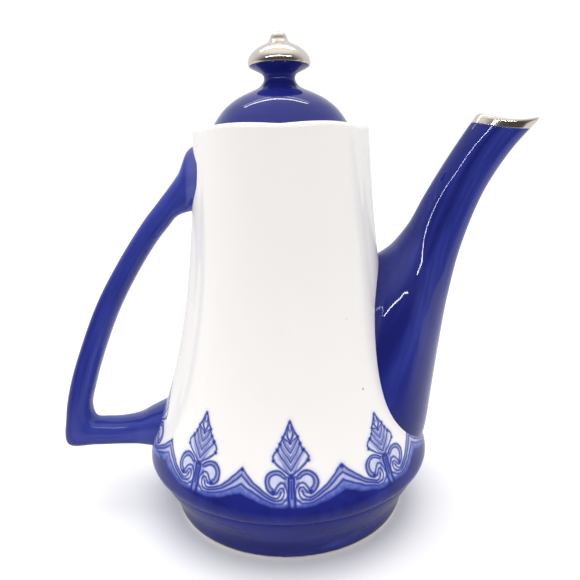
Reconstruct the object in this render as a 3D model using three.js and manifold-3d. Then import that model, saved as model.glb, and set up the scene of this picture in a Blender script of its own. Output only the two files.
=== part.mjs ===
// A tall porcelain teapot of the Gzhel kind: a flared, softly lobed pot on a cobalt foot, with a long
// upswept spout, an angular handle and a domed lid that lifts off.
// Millimetres. +Z is up, the spout points along +X, and the origin is the centre of the foot on the table.
import * as THREE from "three";
import { mergeVertices } from "three/addons/utils/BufferGeometryUtils.js";
import Module from "manifold-3d";

const wasm = await Module();
wasm.setup();

// Driving dimensions
const HEIGHT = 245;
const SPOUT_REACH = 130.2; // from the pot's axis to the spout's tip
const HANDLE_REACH = 126.5; // from the pot's axis to the handle's back
const GAP = 0.3; // between luted pieces, and under the resting lid
const WALL = 4; // of the pot
const SPOUT_WALL = 3;
const FOOT_TOP = 26.2;
const POT_BASE_BORE = 67.4; // radius of the opening where the pot stands on its foot
const SHOULDER = 42; // height where the flange ends and the flare begins
const RIM = 200;
const LEDGE = 193.8; // height of the ledge that carries the lid
const THROAT_RADIUS = 31;
const GALLERY_RADIUS = 37.8;
const COLLAR_CLEARANCE = 0.8;
const COLLAR_DEPTH = 15;
const LOBES = 6;
const LOBE_DEPTH = 1.5;
const RIM_WAVE = 0.5;
const STRAINER = { height: 92, holes: 6, pitchRadius: 9, holeRadius: 2.2 };

// Facet counts
const POT_ROUND = 48; // eight facets to a lobe
const ROUND = 36;
const SMALL_ROUND = 20;
const SPOUT_SIDES = 20;
const SPOUT_RINGS = 18;
const HANDLE_SIDES = 12;
const HANDLE_RINGS = 32;

const WHITE_GLAZE = new THREE.MeshStandardMaterial({ color: 0xf1efec, roughness: 0.12, metalness: 0 });
const COBALT_GLAZE = new THREE.MeshStandardMaterial({ color: 0x2b3180, roughness: 0.1, metalness: 0 });
const PLATINUM = new THREE.MeshStandardMaterial({ color: 0xbeb2a6, roughness: 0.15, metalness: 1 });
const BARE_PORCELAIN = new THREE.MeshStandardMaterial({ color: 0xe9e4db, roughness: 0.6, metalness: 0 });

// The flare: [radius, height] at the middle of a lobe, from the shoulder to just under the rim.
const FLARE = [
  [72.6, SHOULDER],
  [65.3, 62],
  [58, 88],
  [51.9, 118],
  [48, 148],
  [45.6, 174],
  [44.3, 192],
];

// The spout's edges in the plane of symmetry, [x, z], its side edge, and its half width.
// Station by station: the throat-side edge, the outer ridge, the widest side point and its y.
const SPOUT = [
  { upper: [44, 132], ridge: [74.4, 30], side: [44, 56.1], half: 39.6 },
  { upper: [51.5, 136], ridge: [76.9, 43], side: [54.6, 76.6], half: 39.4 },
  { upper: [57.3, 140], ridge: [79.2, 62], side: [63.5, 96.2], half: 32.6 },
  { upper: [61.6, 145], ridge: [82.9, 88], side: [70.5, 114.4], half: 23.6 },
  { upper: [66.6, 152], ridge: [87.3, 113], side: [76, 132.6], half: 16 },
  { upper: [73, 164.3], ridge: [93.3, 139], side: [82.6, 151.5], half: 12 },
  { upper: [81.8, 179.2], ridge: [103.8, 167], side: [92.6, 173], half: 11 },
  { upper: [90.6, 193], ridge: [116.3, 186.9], side: [103.2, 190.6], half: 10.3 },
  { upper: [98.9, 205.2], ridge: [SPOUT_REACH, 202.6], side: [113, 201.6], half: 9.6 },
];
const LIP_START = 0.955; // share of the spout's stations where the lustred lip begins
const POURING = new THREE.Vector3(0.6, 0, 0.8); // the way the mouth faces

// The handle's outer and inner edges, [x, z], and its half width, from the rim round to the shoulder.
const HANDLE = [
  { outer: [-40, 194], inner: [-42, 160], half: 17.5 },
  { outer: [-46.8, 190.8], inner: [-49, 159.5], half: 9.8 },
  { outer: [-52.6, 179.4], inner: [-55.2, 157.2], half: 8 },
  { outer: [-62.5, 167.2], inner: [-60, 152], half: 7.6 },
  { outer: [-72.9, 155], inner: [-66.4, 144.6], half: 7.4 },
  { outer: [-87.7, 134.2], inner: [-77.3, 129], half: 7.4 },
  { outer: [-100.8, 112.6], inner: [-89.7, 107.7], half: 7.4 },
  { outer: [-112, 88.3], inner: [-99.8, 85.2], half: 7.5 },
  { outer: [-120.4, 66.2], inner: [-107.2, 65], half: 7.6 },
  { outer: [-124.8, 48], inner: [-110.8, 51.2], half: 7.8 },
  { outer: [-HANDLE_REACH + 0.9, 29.8], inner: [-109, 45.2], half: 8 },
  { outer: [-110, 29.2], inner: [-102.5, 44.4], half: 8 },
  { outer: [-96, 29.6], inner: [-95, 44.4], half: 8.5 },
  { outer: [-85, 29.6], inner: [-84.5, 46.4], half: 9.5 },
  { outer: [-78, 29.2], inner: [-77.2, 50], half: 12 },
  { outer: [-66, 28.4], inner: [-65.5, 55.5], half: 15.5 },
];

// ---- shared helpers ----

function smoothstep(low, high, value) {
  const t = Math.min(Math.max((value - low) / (high - low), 0), 1);
  return t * t * (3 - 2 * t);
}

// A solid of revolution about Z from [radius, height] points that start and end on the axis.
function turned(points, segments) {
  const outline = points.map(([radius, height]) => new THREE.Vector2(radius, height));
  return new THREE.LatheGeometry(outline, segments).rotateX(Math.PI / 2);
}

// A smooth curve through [u, v] points, as a list of [u, v] points.
function smooth(points, steps) {
  const curve = new THREE.SplineCurve(points.map(([u, v]) => new THREE.Vector2(u, v)));
  return curve.getPoints(steps).map((point) => [point.x, point.y]);
}

function moveVertices(geometry, move) {
  const position = geometry.getAttribute("position");
  const point = new THREE.Vector3();
  for (let i = 0; i < position.count; i += 1) {
    move(point.fromBufferAttribute(position, i));
    position.setXYZ(i, point.x, point.y, point.z);
  }
  return geometry;
}

// A closed bar whose section changes along its length. place(t, angle, share, point) puts each point of
// a unit cylinder, at t from 0 to 1 along it and share of the way from its axis to its skin.
function lofted(sides, rings, place) {
  const cylinder = new THREE.CylinderGeometry(1, 1, 1, sides, rings);
  return moveVertices(cylinder, (point) => {
    const share = Math.hypot(point.x, point.z);
    place(point.y + 0.5, Math.atan2(point.x, point.z), share, point);
  });
}

function toSolid(geometry) {
  geometry.deleteAttribute("normal");
  geometry.deleteAttribute("uv");
  const merged = mergeVertices(geometry, 1e-4);
  const vertProperties = new Float32Array(merged.getAttribute("position").array);
  const triVerts = new Uint32Array(merged.index.array);
  return new wasm.Manifold(new wasm.Mesh({ numProp: 3, vertProperties, triVerts }));
}

function toGeometry(solid) {
  const mesh = solid.getMesh();
  const geometry = new THREE.BufferGeometry();
  geometry.setAttribute("position", new THREE.BufferAttribute(mesh.vertProperties, 3));
  geometry.setIndex(new THREE.BufferAttribute(mesh.triVerts, 1));
  geometry.computeVertexNormals();
  return geometry;
}

function named(name, geometry, material) {
  const mesh = new THREE.Mesh(geometry, material);
  mesh.name = name;
  return mesh;
}

// ---- pot ----

// Presses the lobes' creases into a turned surface and lets its rim rise and fall with them.
function lobed(geometry) {
  return moveVertices(geometry, (point) => {
    const radius = Math.hypot(point.x, point.y);
    const crease = 1 - Math.abs(Math.cos((LOBES / 2) * Math.atan2(point.y, point.x)));
    const pressed = radius - LOBE_DEPTH * crease * smoothstep(SHOULDER, SHOULDER + 30, point.z);
    const scale = radius > 1 ? pressed / radius : 1;
    const rise = RIM_WAVE * (1 - 2 * crease) * smoothstep(RIM - 8, RIM, point.z);
    point.set(point.x * scale, point.y * scale, point.z + rise);
  });
}

// The pot's outside as a solid, swollen by an allowance for whatever is luted onto it.
function potOutside(allowance) {
  const flare = smooth(FLARE, 10).map(([radius, height]) => [radius + allowance, height]);
  return toSolid(lobed(turned([
    [0, FOOT_TOP + GAP - allowance],
    [72.9 + allowance, FOOT_TOP + GAP - allowance],
    [75.4 + allowance, 28.4],
    [76.3 + allowance, 31.5],
    [75.6 + allowance, 35],
    [74.3 + allowance, 38],
    ...flare,
    [43.9 + allowance, RIM - 2.2],
    [43 + allowance, RIM - 0.4],
    [41.4, RIM + allowance],
    [39.4, RIM - 0.3],
    [GALLERY_RADIUS - 0.6, RIM - 2],
    [0, RIM - 2],
  ], POT_ROUND)));
}

function potCavity() {
  const wall = smooth(FLARE, 6).map(([radius, height]) => [radius - WALL, height]).slice(0, -1);
  return toSolid(turned([
    [0, FOOT_TOP - 1],
    [POT_BASE_BORE, FOOT_TOP - 1],
    [68.6, SHOULDER - 8],
    ...wall,
    [39.6, 183],
    [THROAT_RADIUS, 189.5],
    [THROAT_RADIUS, LEDGE],
    [GALLERY_RADIUS, LEDGE],
    [GALLERY_RADIUS, RIM + 5],
    [0, RIM + 5],
  ], ROUND));
}

// Small holes through the wall behind the spout, one in the middle and the others around it.
function strainerHoles() {
  const holes = [];
  for (let i = 0; i <= STRAINER.holes; i += 1) {
    const angle = (i / STRAINER.holes) * 2 * Math.PI;
    const offset = i === STRAINER.holes ? 0 : STRAINER.pitchRadius;
    const hole = new THREE.CylinderGeometry(STRAINER.holeRadius, STRAINER.holeRadius, 30, 10);
    hole.rotateZ(Math.PI / 2);
    hole.translate(56, offset * Math.cos(angle), STRAINER.height + offset * Math.sin(angle));
    holes.push(toSolid(hole));
  }
  return holes;
}

function potBody() {
  const shell = potOutside(0).subtract(potCavity());
  return toGeometry(strainerHoles().reduce((solid, hole) => solid.subtract(hole), shell));
}

function foot() {
  return turned([
    [0, 4.2],
    [55.4, 4.2],
    [57.9, 1],
    [59.1, 0],
    [61.7, 0],
    [62.9, 1.4],
    [64, 5],
    [65.6, 10],
    [68, 15],
    [70.8, 20],
    [72.4, 24.4],
    [72.4, FOOT_TOP],
    [POT_BASE_BORE, FOOT_TOP],
    [65.6, 19],
    [61.6, 12.4],
    [55, 8.8],
    [0, 8.2],
  ], ROUND);
}

// ---- spout ----

function curveThrough(stations, value) {
  return new THREE.CatmullRomCurve3(stations.map(value), false, "centripetal");
}

const SPOUT_CURVES = {
  upper: curveThrough(SPOUT, ({ upper: [x, z] }) => new THREE.Vector3(x, 0, z)),
  ridge: curveThrough(SPOUT, ({ ridge: [x, z] }) => new THREE.Vector3(x, 0, z)),
  side: curveThrough(SPOUT, ({ side: [x, z], half }) => new THREE.Vector3(x, half, z)),
};

// The spout's skin, or with an inset the channel inside it, which overruns the mouth. The mouth dips at
// the sides, between the back of the lip and the pouring point.
function spoutBar(from, to, inset, overrun) {
  const rings = Math.ceil(SPOUT_RINGS * (to - from));
  return toSolid(lofted(SPOUT_SIDES, rings, (t, angle, share, point) => {
    const station = from + (to - from) * t;
    const upper = SPOUT_CURVES.upper.getPoint(station);
    const ridge = SPOUT_CURVES.ridge.getPoint(station);
    const side = SPOUT_CURVES.side.getPoint(station);
    const middle = upper.clone().add(ridge).multiplyScalar(0.5);
    const across = upper.clone().sub(middle);
    across.setLength(across.length() - inset);
    const half = side.y - inset;
    side.y = 0;
    const sweep = side.sub(middle).multiplyScalar((share * Math.sin(angle)) ** 2);
    const sideways = new THREE.Vector3(0, -half * share * Math.sin(angle), 0);
    point.copy(middle).addScaledVector(across, share * Math.cos(angle)).add(sweep).add(sideways);
    if (t === 1) point.addScaledVector(POURING, overrun);
  }));
}

function spoutPiece(from, to) {
  const channel = spoutBar(0, 1, SPOUT_WALL, 8);
  return toGeometry(spoutBar(from, to, 0, 0).subtract(channel).subtract(potOutside(GAP)));
}

// ---- handle ----

const HANDLE_CURVES = {
  outer: curveThrough(HANDLE, ({ outer: [x, z] }) => new THREE.Vector3(x, 0, z)),
  inner: curveThrough(HANDLE, ({ inner: [x, z] }) => new THREE.Vector3(x, 0, z)),
  half: curveThrough(HANDLE, ({ half }, i) => new THREE.Vector3(i, half, 0)),
};

function handle() {
  const bar = toSolid(lofted(HANDLE_SIDES, HANDLE_RINGS, (t, angle, share, point) => {
    const outer = HANDLE_CURVES.outer.getPoint(t);
    const inner = HANDLE_CURVES.inner.getPoint(t);
    const half = HANDLE_CURVES.half.getPoint(t).y;
    const middle = outer.clone().add(inner).multiplyScalar(0.5);
    const across = outer.clone().sub(middle);
    point.copy(middle).addScaledVector(across, share * Math.cos(angle));
    point.y = half * share * Math.sin(angle);
  }));
  return toGeometry(bar.subtract(potOutside(GAP)));
}

// ---- lid and knob ----

const LID_BASE = LEDGE + GAP;
const NECK_BASE = 218.6;
const CAP_BASE = 226.6;
const BUTTON_BASE = 239.6;

function lidDome() {
  const vent = new THREE.CylinderGeometry(1.5, 1.5, 40, 10).rotateX(Math.PI / 2).translate(-19, 0, 212);
  const shell = toSolid(turned([
    [0, 213.6],
    [11, 212.4],
    [19, 208.4],
    [24.6, 201.4],
    [25.6, LID_BASE],
    [36.8, LID_BASE],
    [36.9, 195.8],
    [35.4, 199],
    [33.2, 202.2],
    [30.8, 206],
    [27.5, 210],
    [22.1, 213.8],
    [16.2, 216.4],
    [10.4, NECK_BASE - GAP],
    [0, NECK_BASE - GAP],
  ], ROUND));
  return toGeometry(shell.subtract(toSolid(vent)));
}

function lidCollar() {
  const outer = THROAT_RADIUS - COLLAR_CLEARANCE;
  const inner = outer - 4;
  const bottom = LEDGE - COLLAR_DEPTH;
  return turned([
    [inner, LEDGE],
    [inner, bottom + 1],
    [inner + 1, bottom],
    [outer - 1, bottom],
    [outer, bottom + 1],
    [outer, LEDGE],
    [inner, LEDGE],
  ], ROUND);
}

function knobNeck() {
  return turned([
    [0, NECK_BASE],
    [10.2, NECK_BASE],
    [9, 220.6],
    [7.8, 222.4],
    [7.6, 223.8],
    [8.2, 225.4],
    [9.2, CAP_BASE - GAP],
    [0, CAP_BASE - GAP],
  ], SMALL_ROUND);
}

function knobCap() {
  return turned([
    [0, CAP_BASE],
    [10.4, CAP_BASE],
    [13.6, 228],
    [15.2, 229.8],
    [15.2, 231.4],
    [14.6, 233.4],
    [13, 235.6],
    [10, 237.8],
    [6.6, BUTTON_BASE - GAP],
    [0, BUTTON_BASE - GAP],
  ], SMALL_ROUND);
}

function knobButton() {
  return turned([
    [0, BUTTON_BASE],
    [5.6, BUTTON_BASE],
    [4.5, 241],
    [3.9, 242.6],
    [2.5, HEIGHT - 0.6],
    [0, HEIGHT],
  ], SMALL_ROUND);
}

const lid = new THREE.Group();
lid.add(
  named("lid_dome", lidDome(), COBALT_GLAZE),
  named("lid_collar", lidCollar(), BARE_PORCELAIN),
  named("knob_neck", knobNeck(), COBALT_GLAZE),
  named("knob_cap", knobCap(), PLATINUM),
  named("knob_button", knobButton(), PLATINUM),
);

const teapot = new THREE.Group();
teapot.add(
  named("pot_body", potBody(), WHITE_GLAZE),
  named("foot", foot(), COBALT_GLAZE),
  named("spout", spoutPiece(0, LIP_START), COBALT_GLAZE),
  named("spout_lip", spoutPiece(LIP_START + 0.0025, 1), PLATINUM),
  named("handle", handle(), COBALT_GLAZE),
  lid,
);

export default teapot;
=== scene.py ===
"""The looks of a tall Gzhel porcelain teapot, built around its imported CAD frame.

Lengths are written in millimetres and scaled to metres where a mesh is made. The spout points along +X,
the pot's painted front faces -Y, and the pot stands on z = 0.
"""
import math

import bpy
import numpy as np
from mathutils import Matrix, Vector


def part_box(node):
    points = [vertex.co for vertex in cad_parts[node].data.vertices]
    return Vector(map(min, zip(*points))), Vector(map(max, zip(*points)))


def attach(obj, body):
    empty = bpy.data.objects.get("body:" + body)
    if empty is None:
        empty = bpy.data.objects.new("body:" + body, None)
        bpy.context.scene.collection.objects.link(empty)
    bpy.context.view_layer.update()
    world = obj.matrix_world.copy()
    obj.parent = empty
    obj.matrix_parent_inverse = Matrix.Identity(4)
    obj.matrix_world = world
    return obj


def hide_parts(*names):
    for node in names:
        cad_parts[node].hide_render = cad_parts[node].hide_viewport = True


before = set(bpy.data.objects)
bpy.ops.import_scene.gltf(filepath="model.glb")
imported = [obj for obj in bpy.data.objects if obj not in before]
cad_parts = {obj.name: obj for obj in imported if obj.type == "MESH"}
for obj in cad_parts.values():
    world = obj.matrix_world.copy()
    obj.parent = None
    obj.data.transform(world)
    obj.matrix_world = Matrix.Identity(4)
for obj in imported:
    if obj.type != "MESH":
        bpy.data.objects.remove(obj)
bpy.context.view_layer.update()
MM = 0.001


def top_of(node):
    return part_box(node)[1].z / MM


def bottom_of(node):
    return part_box(node)[0].z / MM


# ---------------------------------------------------------------- driving dimensions, from the frame

HEIGHT = top_of("knob_button")
SPOUT_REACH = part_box("spout_lip")[1].x / MM
HANDLE_REACH = -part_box("handle")[0].x / MM
FOOT_TOP = top_of("foot")
FLANGE_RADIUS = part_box("pot_body")[1].x / MM
LID_SEAT = bottom_of("lid_dome")
COLLAR_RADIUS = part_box("lid_collar")[1].x / MM
COLLAR_BOTTOM = bottom_of("lid_collar")
SHOULDER = 42
RIM = 200
LEDGE = LID_SEAT - 0.3
THROAT_RADIUS = COLLAR_RADIUS + 0.8
GALLERY_RADIUS = 37.8
POT_BASE_BORE = 67.4
WALL = 4
LOBES = 6
LOBE_DEPTH = 1.5
RIM_WAVE = 0.5  # how far the rim rises on a lobe and dips in a crease
SPOUT_WALL = 2.6
SUNK = 2.6  # how far below the pot's outside the spout and handle start, inside its wall
LIP_START = 0.955

# The pot's outside, (radius, height) at the middle of a lobe: flange, flare, and where the rim starts.
FLANGE_TOP = [(76.0, 29.6), (FLANGE_RADIUS, 31.5), (75.7, 35), (74.3, 38.4)]
FLARE = [
    (72.6, SHOULDER), (65.3, 62), (58, 88), (51.9, 118), (48, 148), (45.6, 174), (44.3, 192),
]
RIM_FOOT = (44.0, RIM - 3)

# Station by station: the throat-side edge, the outer ridge, the widest side point, and its half width.
SPOUT = [
    ((44, 132), (74.4, 30), (44, 56.1), 39.6),
    ((51.5, 136), (76.9, 43), (54.6, 76.6), 39.4),
    ((57.3, 140), (79.2, 62), (63.5, 96.2), 32.6),
    ((61.6, 145), (82.9, 88), (70.5, 114.4), 23.6),
    ((66.6, 152), (87.3, 113), (76, 132.6), 16),
    ((73, 164.3), (93.3, 139), (82.6, 151.5), 12),
    ((81.8, 179.2), (103.8, 167), (92.6, 173), 11),
    ((90.6, 193), (116.3, 186.9), (103.2, 190.6), 10.3),
    ((98.9, 205.2), (SPOUT_REACH, 202.6), (113, 201.6), 9.6),
]

# The handle's outer and inner edges and its half width, from the rim round to the shoulder.
HANDLE = [
    ((-40, 194), (-42, 160), 17.5),
    ((-46.8, 190.8), (-49, 159.5), 9.8),
    ((-52.6, 179.4), (-55.2, 157.2), 8),
    ((-62.5, 167.2), (-60, 152), 7.6),
    ((-72.9, 155), (-66.4, 144.6), 7.4),
    ((-87.7, 134.2), (-77.3, 129), 7.4),
    ((-100.8, 112.6), (-89.7, 107.7), 7.4),
    ((-112, 88.3), (-99.8, 85.2), 7.5),
    ((-120.4, 66.2), (-107.2, 65), 7.6),
    ((-124.8, 48), (-110.8, 51.2), 7.8),
    ((-HANDLE_REACH + 0.9, 29.8), (-109, 45.2), 8),
    ((-110, 29.2), (-102.5, 44.4), 8),
    ((-96, 29.6), (-95, 44.4), 8.5),
    ((-85, 29.6), (-84.5, 46.4), 9.5),
    ((-78, 29.2), (-77.2, 50), 12),
    ((-66, 28.4), (-65.5, 55.5), 15.5),
]


# ---------------------------------------------------------------- curves and meshes

def smoothstep(low, high, value):
    t = np.clip((value - low) / (high - low), 0, 1)
    return t * t * (3 - 2 * t)


def spline(points, where):
    """Points of a centripetal Catmull-Rom curve, at shares of its stations from 0 to 1."""
    p = np.array(points, float)
    p = np.vstack([2 * p[0] - p[1], p, 2 * p[-1] - p[-2]])
    spans = len(p) - 3
    at = np.clip(np.asarray(where, float), 0, 1) * spans
    i = np.minimum(at.astype(int), spans - 1)
    t = (at - i)[:, None]
    a, b, c, d = p[i], p[i + 1], p[i + 2], p[i + 3]
    ab, bc, cd = (np.linalg.norm(v - u, axis=1)[:, None] ** 0.5 for u, v in ((a, b), (b, c), (c, d)))
    slope_b = ((b - a) / ab - (c - a) / (ab + bc) + (c - b) / bc) * bc
    slope_c = ((c - b) / bc - (d - b) / (bc + cd) + (d - c) / cd) * bc
    bend = -3 * b + 3 * c - 2 * slope_b - slope_c
    twist = 2 * b - 2 * c + slope_b + slope_c
    return b + slope_b * t + bend * t**2 + twist * t**3


def smooth(points, steps):
    return spline(points, np.linspace(0, 1, steps + 1))


def rounded(points, step=1.0):
    """A profile through points, eased by a curve where they bend, with a point about every step."""
    dense = smooth(points, 12 * (len(points) - 1))
    lengths = np.concatenate([[0], np.cumsum(np.linalg.norm(np.diff(dense, axis=0), axis=1))])
    count = max(2, int(round(lengths[-1] / step)) + 1)
    even = np.linspace(0, lengths[-1], count)
    return np.stack([np.interp(even, lengths, dense[:, k]) for k in range(dense.shape[1])], axis=1)


def join(*runs):
    """One profile from runs that meet end to start."""
    kept = [np.array(runs[0], float)]
    for run in runs[1:]:
        run = np.array(run, float)
        near = np.linalg.norm(run[0] - kept[-1][-1]) < 1e-6
        kept.append(run[1:] if near else run)
    return np.vstack(kept)


INSIDE = 1.0  # added to a hollow skin's lengthwise UV on its inner side


def skin(name, rows, loop=False, start=None, end=None, inside_from=None):
    """A quad mesh over rings of points, which wrap round. loop also joins the last ring to the first;
    start and end are the points that close the open ends. UV runs round, then along in metres, with INSIDE
    added from ring inside_from on."""
    rows = np.asarray(rows, float) * MM
    count, around = rows.shape[:2]
    verts = [tuple(p) for p in rows.reshape(-1, 3)]
    along = np.concatenate([[0], np.cumsum(np.linalg.norm(np.diff(rows, axis=0), axis=2).mean(axis=1))])
    if inside_from is not None:
        along[inside_from:] += INSIDE
    faces, uvs = [], []
    for i in range(count if loop else count - 1):
        k = (i + 1) % count
        low, high = along[i], along[k] if k else along[-1] + (along[1] - along[0])
        for j in range(around):
            m = (j + 1) % around
            left, right = j / around, (j + 1) / around
            faces.append((i * around + j, i * around + m, k * around + m, k * around + j))
            uvs.append(((left, low), (right, low), (right, high), (left, high)))
    for pole, i, flip in ((start, 0, True), (end, count - 1, False)):
        if pole is None:
            continue
        verts.append(tuple(np.asarray(pole, float) * MM))
        for j in range(around):
            m = (j + 1) % around
            fan = (i * around + j, i * around + m, len(verts) - 1)
            mark = ((j / around, along[i]), ((j + 1) / around, along[i]), ((j + 0.5) / around, along[i]))
            faces.append(fan[::-1] if flip else fan)
            uvs.append(mark[::-1] if flip else mark)
    mesh = bpy.data.meshes.new(name)
    mesh.from_pydata(verts, [], faces)
    layer = mesh.uv_layers.new(name="surface")
    layer.data.foreach_set("uv", [c for face in uvs for corner in face for c in corner])
    mesh.polygons.foreach_set("use_smooth", [True] * len(faces))
    mesh.validate()
    piece = bpy.data.objects.new(name, mesh)
    bpy.context.scene.collection.objects.link(piece)
    return piece


def pot_radius(height):
    """The pot's outside radius at a height, at the middle of a lobe."""
    outline = FLANGE_TOP + FLARE + [RIM_FOOT]
    dense = smooth(outline, 20 * len(outline))
    return np.interp(height, dense[:, 1], dense[:, 0])


def clearance(points):
    """How far points stand out from the surface that lies SUNK below the pot's outside."""
    return np.hypot(points[..., 0], points[..., 1]) - pot_radius(points[..., 2]) + SUNK


def emerging(rings, count, both_ends=False):
    """Spaces each lengthwise line of a skin anew, from where it leaves the pot's wall, and with
    both_ends to where it goes back in."""
    out = clearance(rings) > 0
    result = np.empty((count,) + rings.shape[1:])
    for j in range(rings.shape[1]):
        hidden = np.nonzero(~out[:, j])[0]
        middle = len(rings) // 2
        first = hidden[hidden < middle].max(initial=0)
        last = hidden[hidden > middle].min(initial=len(rings) - 1) if both_ends else len(rings) - 1
        at = np.linspace(first, last, count)
        for k in range(3):
            result[:, j, k] = np.interp(at, np.arange(len(rings)), rings[:, j, k])
    return result


def sunk_cap(ring, shares):
    """Rings that close a root's end along the surface inside the wall, and their middle point."""
    middle = ring.mean(axis=0)
    rows = np.array([middle + (ring - middle) * share for share in (*shares, 0.0)])
    flat = np.hypot(rows[..., 0], rows[..., 1])
    rows[..., :2] *= ((flat - clearance(rows)) / flat)[..., None]
    return rows[:-1], rows[-1][0]


def turn(profile, around):
    """Rings of points from a (radius, height) profile."""
    angles = np.arange(around) / around * 2 * math.pi
    radius, height = np.array(profile, float).T
    x = radius[:, None] * np.cos(angles)
    y = radius[:, None] * np.sin(angles)
    return np.stack([x, y, np.broadcast_to(height[:, None], x.shape)], axis=2)


def finish_piece(piece, body, slot, material, *replaced):
    piece.data.materials.append(material)
    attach(piece, body)
    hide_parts(*replaced)
    return piece


# ---------------------------------------------------------------- node helper

def srgb(red, green, blue):
    """A linear colour from 0 to 255 display values."""
    def linear(value):
        value /= 255
        return value / 12.92 if value <= 0.04045 else ((value + 0.055) / 1.055) ** 2.4
    return linear(red), linear(green), linear(blue), 1.0


class Nodes:
    """Short names for the shader nodes that the materials are made of. Inputs are numbers or sockets."""

    def __init__(self, name):
        self.material = bpy.data.materials.new(name)
        self.material.use_nodes = True
        self.tree = self.material.node_tree
        self.shader = self.tree.nodes["Principled BSDF"]

    def put(self, value, socket):
        if isinstance(value, bpy.types.NodeSocket):
            self.tree.links.new(value, socket)
        else:
            socket.default_value = value

    def math(self, operation, *values, clamp=False):
        node = self.tree.nodes.new("ShaderNodeMath")
        node.operation = operation
        node.use_clamp = clamp
        for value, socket in zip(values, node.inputs):
            self.put(value, socket)
        return node.outputs[0]

    def vector(self, operation, *values):
        node = self.tree.nodes.new("ShaderNodeVectorMath")
        node.operation = operation
        for value, socket in zip(values, node.inputs):
            self.put(value, socket)
        return node.outputs["Value" if operation in ("DISTANCE", "LENGTH", "DOT_PRODUCT") else "Vector"]

    def join(self, x, y, z):
        node = self.tree.nodes.new("ShaderNodeCombineXYZ")
        for value, socket in zip((x, y, z), node.inputs):
            self.put(value, socket)
        return node.outputs[0]

    def split(self, vector):
        node = self.tree.nodes.new("ShaderNodeSeparateXYZ")
        self.put(vector, node.inputs[0])
        return node.outputs

    def object_point(self):
        return self.tree.nodes.new("ShaderNodeTexCoord").outputs["Object"]

    def uv(self):
        return self.tree.nodes.new("ShaderNodeTexCoord").outputs["UV"]

    def noise(self, where, scale=1.0, detail=2.0, rough=0.5):
        node = self.tree.nodes.new("ShaderNodeTexNoise")
        self.put(where, node.inputs["Vector"])
        self.put(scale, node.inputs["Scale"])
        self.put(detail, node.inputs["Detail"])
        self.put(rough, node.inputs["Roughness"])
        return node.outputs["Fac"]

    def step(self, value, low, high, out_low=0.0, out_high=1.0):
        node = self.tree.nodes.new("ShaderNodeMapRange")
        node.interpolation_type = "SMOOTHSTEP"
        for item, socket in zip((value, low, high, out_low, out_high), node.inputs):
            self.put(item, socket)
        return node.outputs["Result"]

    def mix(self, share, first, second):
        node = self.tree.nodes.new("ShaderNodeMix")
        node.data_type = "RGBA"
        self.put(share, node.inputs["Factor"])
        self.put(first, node.inputs["A"])
        self.put(second, node.inputs["B"])
        return node.outputs["Result"]

    def bump(self, height, distance, strength=1.0):
        node = self.tree.nodes.new("ShaderNodeBump")
        self.put(strength, node.inputs["Strength"])
        self.put(distance, node.inputs["Distance"])
        self.put(height, node.inputs["Height"])
        self.put(node.outputs["Normal"], self.shader.inputs["Normal"])

    def set(self, **values):
        for name, value in values.items():
            self.put(value, self.shader.inputs[name.replace("_", " ").title().replace("Ior", "IOR")])


# ---------------------------------------------------------------- glaze colours

WHITE = srgb(243, 240, 236)
PALE_BLUE = srgb(150, 166, 226)
WASH_BLUE = srgb(78, 94, 180)
LINE_BLUE = srgb(46, 60, 148)
COBALT_DEEP = srgb(24, 29, 103)
COBALT_MID = srgb(29, 36, 118)
COBALT_THIN = srgb(58, 70, 158)
BARE = srgb(226, 220, 208)
GLAZE_IOR = 1.42


def glaze(nodes, where, roughness=0.05):
    """The clear glaze over any colour: glossy, with a faint unevenness that bends its reflections."""
    ripple = nodes.noise(where, 55.0, 2.0)
    pits = nodes.noise(where, 900.0, 2.0)
    nodes.set(roughness=roughness, ior=GLAZE_IOR)
    height = nodes.math("MULTIPLY_ADD", pits, 0.04, ripple)
    nodes.bump(height, 0.0004, 0.2)


def brushed_cobalt(nodes, where, stretch, seed=0.0, thinness=0.0):
    """Solid underglaze cobalt laid on by brush: streaks along the stroke and thinner patches."""
    along = nodes.vector("MULTIPLY", where, stretch)
    shifted = nodes.vector("ADD", along, (seed, seed * 0.7, seed * 0.3))
    streaks = nodes.noise(shifted, 1.0, 4.0, 0.6)
    broad = nodes.noise(nodes.vector("MULTIPLY", shifted, (0.33, 0.4, 0.33)), 1.0, 2.0, 0.5)
    cover = nodes.math("MULTIPLY_ADD", broad, 0.55, nodes.math("MULTIPLY", streaks, 0.45))
    thin = nodes.step(cover, 0.52 - thinness, 0.76 - thinness)
    dark = nodes.step(streaks, 0.56 - thinness, 0.34 - thinness)
    return nodes.mix(thin, nodes.mix(dark, COBALT_MID, COBALT_DEEP), COBALT_THIN)


# ---------------------------------------------------------------- the painted border

REPEATS = 9
MEAN_RADIUS = 66  # the border is drawn as if unrolled from a cylinder of this radius
PITCH = 2 * math.pi * MEAN_RADIUS / REPEATS
BORDER_TURN = math.radians(0.5)  # of the middle palmette, round from the pot's front
DRIFT = math.radians(3.3)  # how far the motifs on the handle's side crowd towards the front
SHORT_LEAF = (0.04, 0.2)  # how much shorter the palmettes are, on the handle's side and on the spout's
RIBBON_START = 7  # out from a palmette's middle
RIBBON_VALLEY = (36.6, 39.8)  # heights of the ribbon's lower and upper edge under the palmette
RIBBON_RISE = (4.4, 11.2)  # and how far each rises to the peak
PEAK = (PITCH / 2, 50.3)
STRIPES = (0.36, 0.69, 1.0)  # where the ribbon's lines run, as shares of its depth


def arc(centre, radius, first, last, steps):
    """Points of an arc, in degrees; a radius pair winds in or out as a spiral."""
    start, stop = radius if isinstance(radius, tuple) else (radius, radius)
    points = []
    for i in range(steps + 1):
        t = i / steps
        angle = math.radians(first + (last - first) * t)
        reach = start + (stop - start) * t
        points.append((centre[0] + reach * math.cos(angle), centre[1] + reach * math.sin(angle)))
    return points


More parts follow.
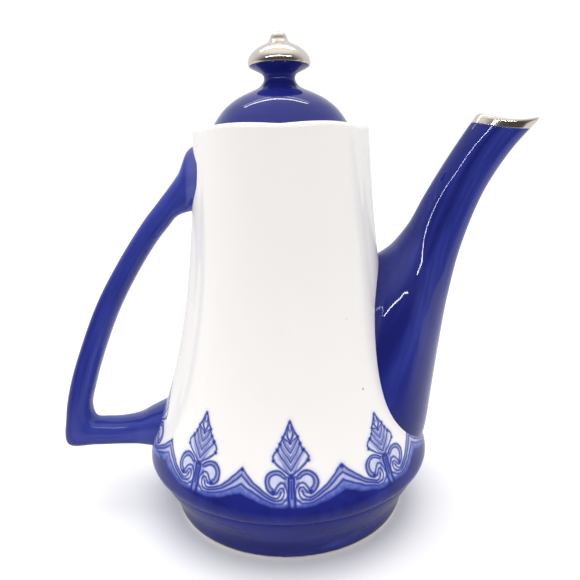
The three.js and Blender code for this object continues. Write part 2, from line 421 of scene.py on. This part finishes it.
# Brush strokes of half a motif, mirrored about its middle: (half width, points), with the points in
# millimetres from the motif's middle and above the table.
SCROLL = (6.9, 46.0)
SCROLL_OUTER = 5.0
SCROLL_INNER = 3.3
LEAF = [
    (0.34, [(0, 71.6), (1.2, 69.0), (2.2, 66.6), (3.5, 64.8)]),
    (0.24, [(0.0, 62.6), (1.1, 64.6), (1.3, 66.6), (0.6, 69.2)]),
    (0.28, [(3.6, 64.4), (4.2, 63.0), (4.9, 61.6), (5.7, 60.4), (6.4, 59.2)]),
    (0.28, [(6.4, 59.2), (7.8, 58.3), (8.6, 56.8), (8.3, 55.2), (6.9, 53.7), (4.6, 52.0), (2.2, 50.2),
            (0, 48.0)]),
    (0.22, [(0, 61.6), (1.1, 63.1), (3.3, 64.3)]),
    (0.24, [(0, 57.9), (2.3, 61.0), (3.7, 63.6)]),
    (0.24, [(0, 54.1), (2.7, 57.6), (5.0, 61.4)]),
    (0.26, [(0, 50.6), (3.0, 54.5), (6.2, 58.8)]),
]
SCROLLS = [
    (0.30, [(0.6, 48.4)] + arc(SCROLL, SCROLL_OUTER, 152, -62, 13)),
    (0.24, [(2.4, 47.6)] + arc(SCROLL, (3.5, 3.2), 146, -62, 9) + [(8.2, 42.2)]),
    (0.26, [(1.7, 41.6), (2.2, 44.0), (3.4, 45.6), (5.0, 45.9), (6.4, 45.0), (7.3, 43.6), (8.1, 42.2)]),
    (0.22, [(7.0, 38.8), (4.9, 39.2), (3.5, 40.6), (3.2, 42.4), (4.0, 43.9), (5.3, 43.9), (6.2, 42.7),
            (7.0, 41.6)]),
    (0.24, [(8.0, 39.9), (6.2, 40.1), (5.1, 41.1), (4.9, 42.2)]),
    (0.22, [(7.0, 37.8), (4.4, 37.8), (2.3, 39.2), (1.5, 41.2)]),
    (0.50, [(1.3, 47.8), (1.2, 44.0), (1.5, 40.5), (1.3, 36.5)]),
    (0.30, [(0, 46.5), (0, 40)]),
]
DOTS = [(0.7, (0, 71.1)), (0.72, (3.6, 64.5)), (0.72, (4.9, 61.6)), (0.85, (6.4, 59.3)), (0.7, (8.2, 55.0)),
        (0.95, (8.3, 41.9)), (0.65, (0, 62.1)), (1.1, (0, 48.4))]
LEAF_EDGE = [(48, 0.0), (49.5, 1.4), (52.2, 4.8), (54.6, 7.8), (56.6, 8.7), (58.4, 7.8), (59.6, 6.2),
             (61.8, 4.9), (64.6, 3.6), (66.6, 2.3), (69, 1.2), (71.6, 0.0)]
CHEVRON_RISE = 1.42  # of the leaf's veins, per millimetre out from its middle


def stroke(nodes, point, across, height, points):
    """Distance from a brush stroke's middle line."""
    nearest = None
    for (ax, ay), (bx, by) in zip(points, points[1:]):
        lx, ly = bx - ax, by - ay
        square = lx * lx + ly * ly
        share = nodes.math("MULTIPLY_ADD", across, lx / square, -(ax * lx + ay * ly) / square)
        share = nodes.math("MULTIPLY_ADD", height, ly / square, share, clamp=True)
        foot = nodes.vector("MULTIPLY_ADD", nodes.join(share, share, 0), (lx, ly, 0), (ax, ay, 0))
        far = nodes.vector("DISTANCE", point, foot)
        nearest = far if nearest is None else nodes.math("MINIMUM", nearest, far)
    return nearest


def leaf_half_width(nodes, height):
    """Half the leaf's width at a height, from its edge points."""
    node = nodes.tree.nodes.new("ShaderNodeFloatCurve")
    low, high = LEAF_EDGE[0][0], LEAF_EDGE[-1][0]
    curve = node.mapping.curves[0]
    widest = max(width for _, width in LEAF_EDGE)
    for k, (z, width) in enumerate(LEAF_EDGE):
        x, y = (z - low) / (high - low), width / widest
        if k in (0, len(LEAF_EDGE) - 1):
            curve.points[0 if k == 0 else -1].location = (x, y)
        else:
            curve.points.new(x, y)
    node.mapping.update()
    nodes.put(nodes.math("MULTIPLY_ADD", height, 1 / (high - low), -low / (high - low), clamp=True),
              node.inputs["Value"])
    return nodes.math("MULTIPLY", node.outputs["Value"], widest)


def nearest_edge(nodes, point, across, height, strokes, dots=()):
    """Distance from the nearest painted stroke or dot, below zero inside it."""
    line = None
    for half, points in strokes:
        edge = nodes.math("SUBTRACT", stroke(nodes, point, across, height, points), half)
        line = edge if line is None else nodes.math("MINIMUM", line, edge)
    for half, (dx, dy) in dots:
        edge = nodes.math("SUBTRACT", nodes.vector("DISTANCE", point, (dx, dy, 0)), half)
        line = nodes.math("MINIMUM", line, edge)
    return line


def border(nodes, where, ground):
    """The ground colour with the cobalt border painted on: palmettes over pairs of scrolls, joined by
    three-line ribbons that rise to a peak between them, and solid cobalt below."""
    x, y, z = nodes.split(where)
    angle = nodes.math("ADD", nodes.math("ARCTAN2", y, x), math.pi / 2 - BORDER_TURN)
    drift = nodes.step(angle, math.radians(14), math.radians(-32), 0.0, DRIFT)
    drift = nodes.math("MULTIPLY", drift, nodes.step(angle, math.radians(-88), math.radians(-58)))
    turn_share = nodes.math("MULTIPLY", nodes.math("SUBTRACT", angle, drift), REPEATS / (2 * math.pi))
    from_middle = nodes.math("SUBTRACT", turn_share, nodes.math("ROUND", turn_share))
    waver = nodes.vector("MULTIPLY", where, (150, 150, 150))
    sway = nodes.math("MULTIPLY_ADD", nodes.noise(waver, 1.0, 1.0), 1.5, -0.75)
    elsewhere = nodes.vector("ADD", waver, (7, 3, 5))
    lift = nodes.math("MULTIPLY_ADD", nodes.noise(elsewhere, 1.0, 1.0), 1.5, -0.75)
    across = nodes.math("ABSOLUTE", nodes.math("MULTIPLY_ADD", from_middle, PITCH, sway))
    height = nodes.math("MULTIPLY_ADD", z, 1000, lift)
    shorter = nodes.step(angle, math.radians(18), math.radians(32), *SHORT_LEAF)
    above_scrolls = nodes.math("MAXIMUM", nodes.math("SUBTRACT", height, 47), 0)
    height = nodes.math("MULTIPLY_ADD", above_scrolls, shorter, height)
    point = nodes.join(across, height, 0)
    line = nearest_edge(nodes, point, across, height, LEAF + SCROLLS, DOTS)

    # the ribbon: its upper and lower edges rise from the valley under the palmette to the peak
    climb = nodes.math("DIVIDE", nodes.math("SUBTRACT", across, RIBBON_START), PITCH / 2 - RIBBON_START)
    climb = nodes.math("MAXIMUM", climb, 0)
    upper = nodes.math("MULTIPLY_ADD", nodes.math("POWER", climb, 1.5), RIBBON_RISE[1], RIBBON_VALLEY[1])
    lower = nodes.math("MULTIPLY_ADD", nodes.math("POWER", climb, 1.3), RIBBON_RISE[0], RIBBON_VALLEY[0])
    depth = nodes.math("SUBTRACT", upper, lower)
    level = nodes.math("DIVIDE", nodes.math("SUBTRACT", height, lower), depth)
    slack = nodes.math("MULTIPLY", depth, 0.8)
    beside = nodes.math("SUBTRACT", 7.2, across)
    for share in STRIPES:
        gap = nodes.math("MULTIPLY", nodes.math("ABSOLUTE", nodes.math("SUBTRACT", level, share)), slack)
        rail = nodes.math("MAXIMUM", nodes.math("SUBTRACT", gap, 0.26), beside)
        line = nodes.math("MINIMUM", line, rail)
    peak = nodes.vector("DISTANCE", point, (*PEAK, 0))
    line = nodes.math("MINIMUM", line, nodes.math("SUBTRACT", peak, 0.8))

    leaf = nodes.math("SUBTRACT", across, leaf_half_width(nodes, height))
    leaf = nodes.math("MAXIMUM", leaf, nodes.math("SUBTRACT", height, LEAF_EDGE[-1][0] - 0.4))
    out_of_scroll = nodes.vector("DISTANCE", point, (*SCROLL, 0))
    scroll = nodes.math("SUBTRACT", out_of_scroll, SCROLL_OUTER)
    ribbon = nodes.math("MULTIPLY", nodes.math("SUBTRACT", level, 1.0), slack)
    stem = nodes.math("MAXIMUM", nodes.math("SUBTRACT", across, 1.6), nodes.math("SUBTRACT", height, 48))
    shape = nodes.math("MINIMUM", nodes.math("MINIMUM", leaf, scroll), nodes.math("MINIMUM", ribbon, stem))

    # how much cobalt lies inside each shape: veined leaf, shaded outer band of the scroll, striped ribbon
    vein = nodes.math("MULTIPLY_ADD", across, -CHEVRON_RISE, height)
    bands = nodes.math("SINE", nodes.math("MULTIPLY_ADD", vein, 2 * math.pi / 3.7, 1.2))
    by_middle = nodes.step(across, 6.5, 2.0, 0.35, 1.0)
    leaf_tint = nodes.math("MULTIPLY", nodes.step(bands, -0.4, 0.8, 0.06, 0.72), by_middle)
    in_band = nodes.step(out_of_scroll, SCROLL_INNER - 0.5, SCROLL_INNER + 0.5)
    scroll_tint = nodes.math("MULTIPLY_ADD", in_band, 0.52, 0.08)
    low_scroll = nodes.step(height, 44.5, 41.5, 0.0, 0.42)
    scroll_tint = nodes.math("MAXIMUM", scroll_tint, low_scroll)
    from_stripe = nodes.math("ABSOLUTE", nodes.math("SUBTRACT", level, 0.53))
    ribbon_tint = nodes.step(from_stripe, 0.10, 0.22, 0.34, 0.62)
    ribbon_tint = nodes.math("ADD", ribbon_tint, nodes.step(level, 0.42, 0.1, 0.0, 0.35))
    wash = nodes.math("MULTIPLY", nodes.step(leaf, 0.3, -0.4), leaf_tint)
    for edge, tint in ((scroll, scroll_tint), (ribbon, ribbon_tint), (stem, 0.8)):
        inside = nodes.step(edge, 0.3, -0.4)
        rest = nodes.math("MULTIPLY", wash, nodes.math("SUBTRACT", 1.0, inside))
        wash = nodes.math("MULTIPLY_ADD", inside, tint, rest)
    blot = nodes.noise(nodes.vector("MULTIPLY", where, (420, 420, 420)), 1.0, 3.0)
    uneven = nodes.math("MULTIPLY_ADD", blot, 0.5, -0.25)
    wash = nodes.math("ADD", wash, nodes.math("MULTIPLY", uneven, nodes.step(shape, 0.1, -0.3)), clamp=True)

    # colour bleeds a little into the glaze round every stroke
    reach = nodes.math("MINIMUM", line, shape)
    halo = nodes.math("MULTIPLY", nodes.step(reach, 2.4, 0.0), 0.26)
    near_line = nodes.math("MULTIPLY", nodes.step(line, 1.2, 0.0), 0.35)
    painted = nodes.mix(nodes.math("MAXIMUM", halo, near_line), ground, PALE_BLUE)
    inside = nodes.step(shape, 0.2, -0.3)
    painted = nodes.mix(nodes.math("MULTIPLY", inside, 0.22), painted, PALE_BLUE)
    painted = nodes.mix(wash, painted, WASH_BLUE)
    inked = nodes.mix(nodes.step(line, 0.74, -0.32), painted, LINE_BLUE)

    solid = brushed_cobalt(nodes, nodes.join(angle, z, 0), (7, 90, 1), 2.0)
    edge = nodes.math("SUBTRACT", height, lower)
    return nodes.mix(nodes.step(edge, 0.9, -1.0), inked, solid)


def painted_porcelain():
    nodes = Nodes("white_glaze")
    where = nodes.object_point()
    cloud = nodes.noise(where, 22.0, 3.0)
    ground = nodes.mix(nodes.math("MULTIPLY", cloud, 0.25), WHITE, srgb(236, 234, 236))
    specks = nodes.noise(where, 210.0, 1.0)
    ground = nodes.mix(nodes.math("MULTIPLY", nodes.step(specks, 0.80, 0.84), 0.7), ground, LINE_BLUE)
    nodes.set(base_color=border(nodes, where, ground))
    glaze(nodes, where)
    return nodes.material


def cobalt_glaze(name, stretch, seed, thinness=0.0):
    """Brushed cobalt, left white inside. stretch is along the surface's own UV: round it, then along it."""
    nodes = Nodes(name)
    uv = nodes.uv()
    round_share, along, _ = nodes.split(uv)
    turn_angle = nodes.math("MULTIPLY", round_share, 2 * math.pi)
    ring = nodes.join(nodes.math("COSINE", turn_angle), nodes.math("SINE", turn_angle), along)
    color = brushed_cobalt(nodes, ring, (stretch[0], stretch[0], stretch[1]), seed, thinness)
    nodes.set(base_color=nodes.mix(nodes.math("GREATER_THAN", along, INSIDE), color, WHITE))
    glaze(nodes, nodes.object_point(), 0.04)
    return nodes.material


def foot_glaze():
    """Cobalt down to the bare ring that the pot stands on."""
    nodes = Nodes("foot_glaze")
    where = nodes.object_point()
    x, y, z = nodes.split(where)
    angle = nodes.math("ARCTAN2", y, x)
    ring = nodes.join(nodes.math("COSINE", angle), nodes.math("SINE", angle), z)
    color = brushed_cobalt(nodes, ring, (2.2, 2.2, 110), 5.0)
    ragged = nodes.math("MULTIPLY_ADD", nodes.noise(where, 180.0, 2.0), 0.0009, z)
    bare = nodes.step(ragged, 0.0021, 0.0013)
    far = nodes.vector("LENGTH", nodes.join(x, y, 0))
    under = nodes.math("MULTIPLY", nodes.step(far, 0.0588, 0.0580), nodes.step(z, 0.0095, 0.0090))
    color = nodes.mix(under, color, WHITE)
    nodes.set(base_color=nodes.mix(bare, color, BARE))
    glaze(nodes, where)
    nodes.put(nodes.math("MULTIPLY_ADD", bare, 0.5, 0.05), nodes.shader.inputs["Roughness"])
    return nodes.material


def platinum():
    """Warm silver lustre: a mirror film with slight brushing and worn specks."""
    nodes = Nodes("platinum_lustre")
    where = nodes.object_point()
    film = nodes.noise(where, 160.0, 3.0)
    wear = nodes.noise(where, 1400.0, 2.0)
    color = nodes.mix(film, srgb(232, 223, 212), srgb(214, 205, 194))
    nodes.set(base_color=nodes.mix(nodes.step(wear, 0.68, 0.76), color, srgb(172, 160, 148)), metallic=1.0)
    nodes.put(nodes.math("MULTIPLY_ADD", film, 0.1, 0.06), nodes.shader.inputs["Roughness"])
    nodes.bump(nodes.noise(where, 260.0, 2.0), 0.0002, 0.3)
    return nodes.material


def bare_porcelain():
    nodes = Nodes("bare_porcelain")
    where = nodes.object_point()
    grain = nodes.noise(where, 2400.0, 3.0)
    cloud = nodes.noise(where, 60.0, 2.0)
    nodes.set(base_color=nodes.mix(cloud, BARE, srgb(236, 232, 224)))
    nodes.put(nodes.math("MULTIPLY_ADD", grain, 0.2, 0.45), nodes.shader.inputs["Roughness"])
    nodes.bump(grain, 0.0001, 0.4)
    return nodes.material


# ---------------------------------------------------------------- the pot

POT_AROUND = 288


def lobed(rows):
    """Presses the lobes' creases into turned rings and lets the rim rise and fall with them."""
    x, y, z = rows[..., 0], rows[..., 1], rows[..., 2]
    radius = np.hypot(x, y)
    wave = np.abs(np.cos(LOBES / 2 * np.arctan2(y, x)))
    crease = 1 - np.sqrt(wave**2 + 0.004)
    pressed = radius - LOBE_DEPTH * crease * smoothstep(SHOULDER, SHOULDER + 30, z)
    scale = pressed / radius
    rise = RIM_WAVE * (1 - 2 * crease) * smoothstep(RIM - 8, RIM, z)
    return np.stack([x * scale, y * scale, z + rise], axis=2)


def make_pot():
    outside = join(
        rounded([(68.5, FOOT_TOP + 0.1), (71, FOOT_TOP + 0.1), (73.4, 26.6), (75.1, 27.8)]
                + FLANGE_TOP + FLARE + [RIM_FOOT], 1.0),
        rounded([RIM_FOOT, (43.9, RIM - 1.6), (43.2, RIM - 0.3), (41.9, RIM + 0.35),
                 (40.3, RIM), (38.9, RIM - 1.1), (38.2, RIM - 2.6)], 0.4),
    )
    gallery = [(GALLERY_RADIUS, RIM - 4.4), (GALLERY_RADIUS, LEDGE + 0.8), (GALLERY_RADIUS - 0.8, LEDGE),
               (THROAT_RADIUS + 0.8, LEDGE), (THROAT_RADIUS, LEDGE - 0.8), (THROAT_RADIUS, 190.3),
               (THROAT_RADIUS + 0.7, 189)]
    inner_flare = [(radius - WALL, height) for radius, height in FLARE[:-1]][::-1]
    inside = rounded([(THROAT_RADIUS + 0.7, 189), (35.4, 185.4), (39.4, 181.5)] + inner_flare
                     + [(68.7, 36), (68.2, 30), (67.6, FOOT_TOP + 0.1)], 1.6)
    rows = turn(join(outside, gallery, inside), POT_AROUND)
    outer_count = len(outside)
    rows[:outer_count] = lobed(rows[:outer_count])
    return skin("pot", rows, loop=True)


def make_foot():
    outside = rounded([(62.4, 0.25), (63.0, 1.2), (63.9, 4.2), (64.9, 8), (66.4, 12), (68.6, 16.2),
                       (71.0, 20.6), (72.4, 24.2), (72.5, FOOT_TOP - 0.3)], 0.8)
    profile = join(
        rounded([(2, 4.2), (30, 4.2), (54.6, 4.2)], 6), rounded([(54.6, 4.2), (56.9, 2.8), (58.3, 0.7)], 0.6),
        [(59.2, 0), (61.6, 0)], outside,
        [(72.3, FOOT_TOP), (POT_BASE_BORE, FOOT_TOP)],
        rounded([(POT_BASE_BORE, FOOT_TOP), (65.6, 19), (61.6, 12.4), (55, 8.8), (30, 8.2), (2, 8.2)], 2.5),
    )
    return skin("foot_ring", turn(profile, POT_AROUND), start=(0, 0, 4.2), end=(0, 0, 8.2))


# ---------------------------------------------------------------- the spout

def spout_rings(stations, inset, around):
    """Rings of the spout's skin, or with an inset of the channel in it."""
    upper = spline([(x, 0, z) for (x, z), _, _, _ in SPOUT], stations)
    ridge = spline([(x, 0, z) for _, (x, z), _, _ in SPOUT], stations)
    side = spline([(x, half, z) for _, _, (x, z), half in SPOUT], stations)
    inset = np.broadcast_to(np.asarray(inset, float), (len(stations),))
    middle = (upper + ridge) / 2
    across = upper - middle
    reach = np.linalg.norm(across, axis=1)
    across *= ((reach - inset) / reach)[:, None]
    half = side[:, 1] - inset
    sweep = side * (1, 0, 1) - middle
    angles = np.arange(around) / around * 2 * math.pi
    cosine, sine = np.cos(angles)[None, :, None], np.sin(angles)[None, :, None]
    rings = middle[:, None] + across[:, None] * cosine + sweep[:, None] * sine**2
    rings[..., 1] -= half[:, None] * sine[..., 0]
    return rings


def make_spout(around=112):
    dense = np.linspace(0, LIP_START, 1200)
    out = emerging(spout_rings(dense, 0, around), 170)
    back = emerging(spout_rings(dense, SPOUT_WALL, around), 90)[::-1]
    return skin("spout_tube", np.concatenate([out, back]), loop=True, inside_from=len(out))


def make_lip(around=112):
    """The lustred mouth: the skin, a rounded rim, and a turn down into the channel."""
    edge = 1 - 0.35 * SPOUT_WALL / 60
    out = np.linspace(LIP_START + 0.0005, edge, 14)
    bend = np.linspace(0, math.pi, 9)[1:-1]
    over = edge + (1 - edge) * np.sin(bend)
    thick = SPOUT_WALL * (1 - np.cos(bend)) / 2
    back = np.linspace(edge, LIP_START + 0.0005, 12)
    stations = np.concatenate([out, over, back])
    inset = np.concatenate([np.zeros(len(out)), thick, np.full(len(back), SPOUT_WALL)])
    return skin("spout_mouth", spout_rings(stations, inset, around), loop=True)


# ---------------------------------------------------------------- the handle

def make_handle(around=72, steps=2400):
    """A bar with a softly squared section, angular at its lower corner, flared where it meets the pot."""
    stations = np.linspace(0, 1, steps)
    outer = spline([(x, 0, z) for (x, z), _, _ in HANDLE], stations)
    inner = spline([(x, 0, z) for _, (x, z), _ in HANDLE], stations)
    half = spline([(i, width) for i, (_, _, width) in enumerate(HANDLE)], stations)[:, 1]
    middle = (outer + inner) / 2
    across = outer - middle
    angles = np.arange(around) / around * 2 * math.pi
    cosine, sine = np.cos(angles), np.sin(angles)
    square = (np.abs(cosine) ** 2.5 + np.abs(sine) ** 2.5) ** (-1 / 2.5)
    rings = middle[:, None] + across[:, None] * (cosine * square)[None, :, None]
    rings[..., 1] += half[:, None] * (sine * square)[None, :]
    bar = emerging(rings, 280, both_ends=True)
    top, top_middle = sunk_cap(bar[0], (0.35, 0.7))
    foot, foot_middle = sunk_cap(bar[-1], (0.7, 0.35))
    return skin("handle_bar", np.concatenate([top, bar, foot]), start=top_middle, end=foot_middle)


# ---------------------------------------------------------------- the lid and knob

def make_lid():
    under = rounded([(2, 213.4), (11, 212.2), (19, 208.2), (24.2, 202), (25.6, LID_SEAT + 0.4)], 1.2)
    seat = [(26.0, LID_SEAT), (36.2, LID_SEAT), (36.8, LID_SEAT + 0.5)]
    dome = rounded([(36.9, 195.6), (36.2, 197.4), (34.9, 199.8), (33.2, 202.4), (30.8, 205.9), (27.5, 209.7),
                    (22.4, 213.6), (17, 216.4), (12.8, 218.2), (10.2, 219.6), (8.6, 221.2), (7.75, 222.9),
                    (7.7, 224.2), (8.5, 225.7), (10.9, 227.1), (13.6, 228.4), (14.9, 229.2)], 0.6)
    profile = join(under, seat, dome, [(14.0, 229.3), (1, 229.3)])
    return skin("lid", turn(profile, 192), start=(0, 0, 213.5), end=(0, 0, 229.3))


def make_collar():
    inner = COLLAR_RADIUS - 4
    bottom = COLLAR_BOTTOM
    profile = rounded([(inner, LEDGE), (inner, 188), (inner, bottom + 2), (inner + 0.7, bottom + 0.3),
                       (inner + 2, bottom), (COLLAR_RADIUS - 0.7, bottom + 0.3), (COLLAR_RADIUS, bottom + 2),
                       (COLLAR_RADIUS, 188), (COLLAR_RADIUS, LEDGE)], 0.5)
    return skin("collar", turn(profile, 144), loop=True)


def make_knob():
    skirt = rounded([(14.9, 229.35), (15.3, 230.1), (15.35, 231.2), (14.9, 232.8), (13.9, 234.5),
                     (12.3, 236.1), (10.2, 237.6), (8.0, 238.7), (6.4, 239.5), (5.4, 240.2)], 0.4)
    return skin("knob", turn(join([(1, 229.32)], skirt, [(4.8, 240.4), (1, 240.5)]), 128),
                start=(0, 0, 229.32), end=(0, 0, 240.5))


def make_button():
    pip = rounded([(5.35, 240.15), (4.65, 240.9), (4.3, 241.8), (4.0, 242.8), (3.1, 244.0),
                   (1.9, HEIGHT - 0.35), (0.8, HEIGHT - 0.05)], 0.3)
    return skin("button", turn(join([(1, 240.1)], pip), 96), start=(0, 0, 240.1), end=(0, 0, HEIGHT))


# ---------------------------------------------------------------- build

WHITE_GLAZE = painted_porcelain()
PLATINUM = platinum()
SPOUT_GLAZE = cobalt_glaze("spout_glaze", (1.6, 9), 1.0)
HANDLE_GLAZE = cobalt_glaze("handle_glaze", (1.1, 11), 3.0, 0.20)
LID_GLAZE = cobalt_glaze("lid_glaze", (0.7, 60), 8.0, 0.04)

finish_piece(make_pot(), "pot", "white_glaze", WHITE_GLAZE, "pot_body")
finish_piece(make_foot(), "pot", "cobalt_glaze", foot_glaze(), "foot")
finish_piece(make_spout(), "pot", "cobalt_glaze", SPOUT_GLAZE, "spout")
finish_piece(make_lip(), "pot", "platinum_lustre", PLATINUM, "spout_lip")
finish_piece(make_handle(), "pot", "cobalt_glaze", HANDLE_GLAZE, "handle")
finish_piece(make_lid(), "lid", "cobalt_glaze", LID_GLAZE, "lid_dome", "knob_neck")
finish_piece(make_collar(), "lid", "bare_porcelain", bare_porcelain(), "lid_collar")
finish_piece(make_knob(), "lid", "platinum_lustre", PLATINUM, "knob_cap")
finish_piece(make_button(), "lid", "platinum_lustre", PLATINUM, "knob_button")


# ---------------------------------------------------------------- studio

def make_floor():
    """A sheet of white paper, which ends a little in front of the pot. Seen in glossy rays only, its colour
    is painted darker towards its front edge: a painted reflection of the dim room in the glaze."""
    mesh = bpy.data.meshes.new("floor")
    far, front = 4.0, -0.20
    mesh.from_pydata([(-far, front, 0), (far, front, 0), (far, far, 0), (-far, far, 0)], [], [(0, 1, 2, 3)])
    floor = bpy.data.objects.new("floor", mesh)
    bpy.context.scene.collection.objects.link(floor)
    nodes = Nodes("floor_paper")
    cloud = nodes.noise(nodes.object_point(), 3.0, 2.0)
    paper = nodes.mix(cloud, (0.97, 0.965, 0.975, 1), (0.95, 0.945, 0.96, 1))
    _, y, _ = nodes.split(nodes.object_point())
    mirrored = nodes.tree.nodes.new("ShaderNodeLightPath").outputs["Is Glossy Ray"]
    # painted reflection: in glossy rays only, the paper is mixed towards the dark TENT_FRONT near its front
    # edge, so the glaze mirrors a dim room there
    painted_reflection_darkening = nodes.math("MULTIPLY", nodes.step(y, -0.04, front, 0.45, 1.0), mirrored)
    nodes.set(base_color=nodes.mix(painted_reflection_darkening, paper, TENT_FRONT), roughness=0.6)
    mesh.materials.append(nodes.material)


TENT_FRONT = (0.09, 0.08, 0.075, 1)  # what the glaze mirrors towards the room
TENT_SIDES = (0.84, 0.84, 0.87, 1)
TENT_TOP = (1.15, 1.15, 1.13, 1)
TENT_GLOW = (0.85, 0.85, 0.85, 1)  # what lights the pot
TENT_SEEN = (1.05, 1.05, 1.05, 1)


def make_world():
    """A white light tent, open towards a dim room in front and brightest overhead. It is plain white
    behind the pot."""
    world = bpy.data.worlds.new("tent")
    world.use_nodes = True
    bpy.context.scene.world = world
    tree = world.node_tree
    toward = tree.nodes.new("ShaderNodeSeparateXYZ")
    tree.links.new(tree.nodes.new("ShaderNodeTexCoord").outputs["Generated"], toward.inputs[0])
    height = tree.nodes.new("ShaderNodeMath")
    height.operation = "MULTIPLY_ADD"
    height.inputs[1].default_value = 0.55
    tree.links.new(toward.outputs["Z"], height.inputs[0])
    tree.links.new(toward.outputs["Y"], height.inputs[2])
    front = tree.nodes.new("ShaderNodeMapRange")
    front.interpolation_type = "SMOOTHSTEP"
    front.inputs["From Min"].default_value, front.inputs["From Max"].default_value = -0.75, 0.75
    tree.links.new(height.outputs[0], front.inputs["Value"])
    top = tree.nodes.new("ShaderNodeMapRange")
    top.interpolation_type = "SMOOTHSTEP"
    top.inputs["From Min"].default_value, top.inputs["From Max"].default_value = 0.6, 0.98
    tree.links.new(toward.outputs["Z"], top.inputs["Value"])
    path = tree.nodes.new("ShaderNodeLightPath")
    shown = TENT_FRONT
    for share, color in ((front.outputs["Result"], TENT_SIDES),
                         (top.outputs["Result"], TENT_TOP),
                         (path.outputs["Is Diffuse Ray"], TENT_GLOW),
                         (path.outputs["Is Camera Ray"], TENT_SEEN)):
        mix = tree.nodes.new("ShaderNodeMix")
        mix.data_type = "RGBA"
        tree.links.new(share, mix.inputs["Factor"])
        if isinstance(shown, tuple):
            mix.inputs["A"].default_value = shown
        else:
            tree.links.new(shown, mix.inputs["A"])
        mix.inputs["B"].default_value = color
        shown = mix.outputs["Result"]
    tree.links.new(shown, tree.nodes["Background"].inputs["Color"])


def area_light(name, place, aim, size, glow, spin=0.0):
    """A light that only draws highlights. glow is its radiance, and spin turns its long side."""
    light = bpy.data.lights.new(name, "AREA")
    light.shape = "RECTANGLE"
    light.size, light.size_y = size
    light.energy = glow * math.pi * size[0] * size[1]
    lamp = bpy.data.objects.new(name, light)
    facing = (Vector(aim) - Vector(place)).to_track_quat("-Z", "Y").to_matrix().to_4x4()
    lamp.matrix_world = Matrix.Translation(place) @ facing @ Matrix.Rotation(math.radians(spin), 4, "Z")
    lamp.visible_diffuse = False
    bpy.context.scene.collection.objects.link(lamp)


SUN_STRENGTH = 2.1
SUN_SPREAD = math.radians(75)


def make_lights():
    """Soft daylight from overhead, and tube lights on the ceiling behind the pot and before it."""
    sun = bpy.data.lights.new("roof", "SUN")
    sun.energy = SUN_STRENGTH
    sun.angle = SUN_SPREAD
    roof = bpy.data.objects.new("roof", sun)
    roof.rotation_euler = (math.radians(-6), math.radians(-5), 0)
    roof.visible_glossy = False
    bpy.context.scene.collection.objects.link(roof)
    area_light("tube", (-0.05, 0.165, 0.72), (-0.05, 0.165, 0), (0.60, 0.016), 24, -5)
    area_light("tube_behind", (-0.05, 0.235, 0.72), (-0.05, 0.235, 0), (0.60, 0.010), 8, -5)
    area_light("tube_before", (-0.03, -0.60, 0.62), (-0.03, 0, 0.17), (1.30, 0.018), 38)


CAMERA_PLACE = (0.0028, -0.2831, 0.1835)
CAMERA_DOWN = 13.32  # degrees below level
CAMERA_ROLL = -1.3
CAMERA_LENS = 33.52


def make_camera():
    camera = bpy.data.cameras.new("camera")
    camera.sensor_fit = "HORIZONTAL"
    camera.sensor_width = 36
    camera.lens = CAMERA_LENS
    eye = bpy.data.objects.new("camera", camera)
    down = Matrix.Rotation(math.radians(90 - CAMERA_DOWN), 4, "X")
    roll = Matrix.Rotation(math.radians(CAMERA_ROLL), 4, "Z")
    eye.matrix_world = Matrix.Translation(CAMERA_PLACE) @ down @ roll
    bpy.context.scene.collection.objects.link(eye)
    bpy.context.scene.camera = eye


make_floor()
make_world()
make_lights()
make_camera()
bpy.context.scene.view_settings.view_transform = "Standard"
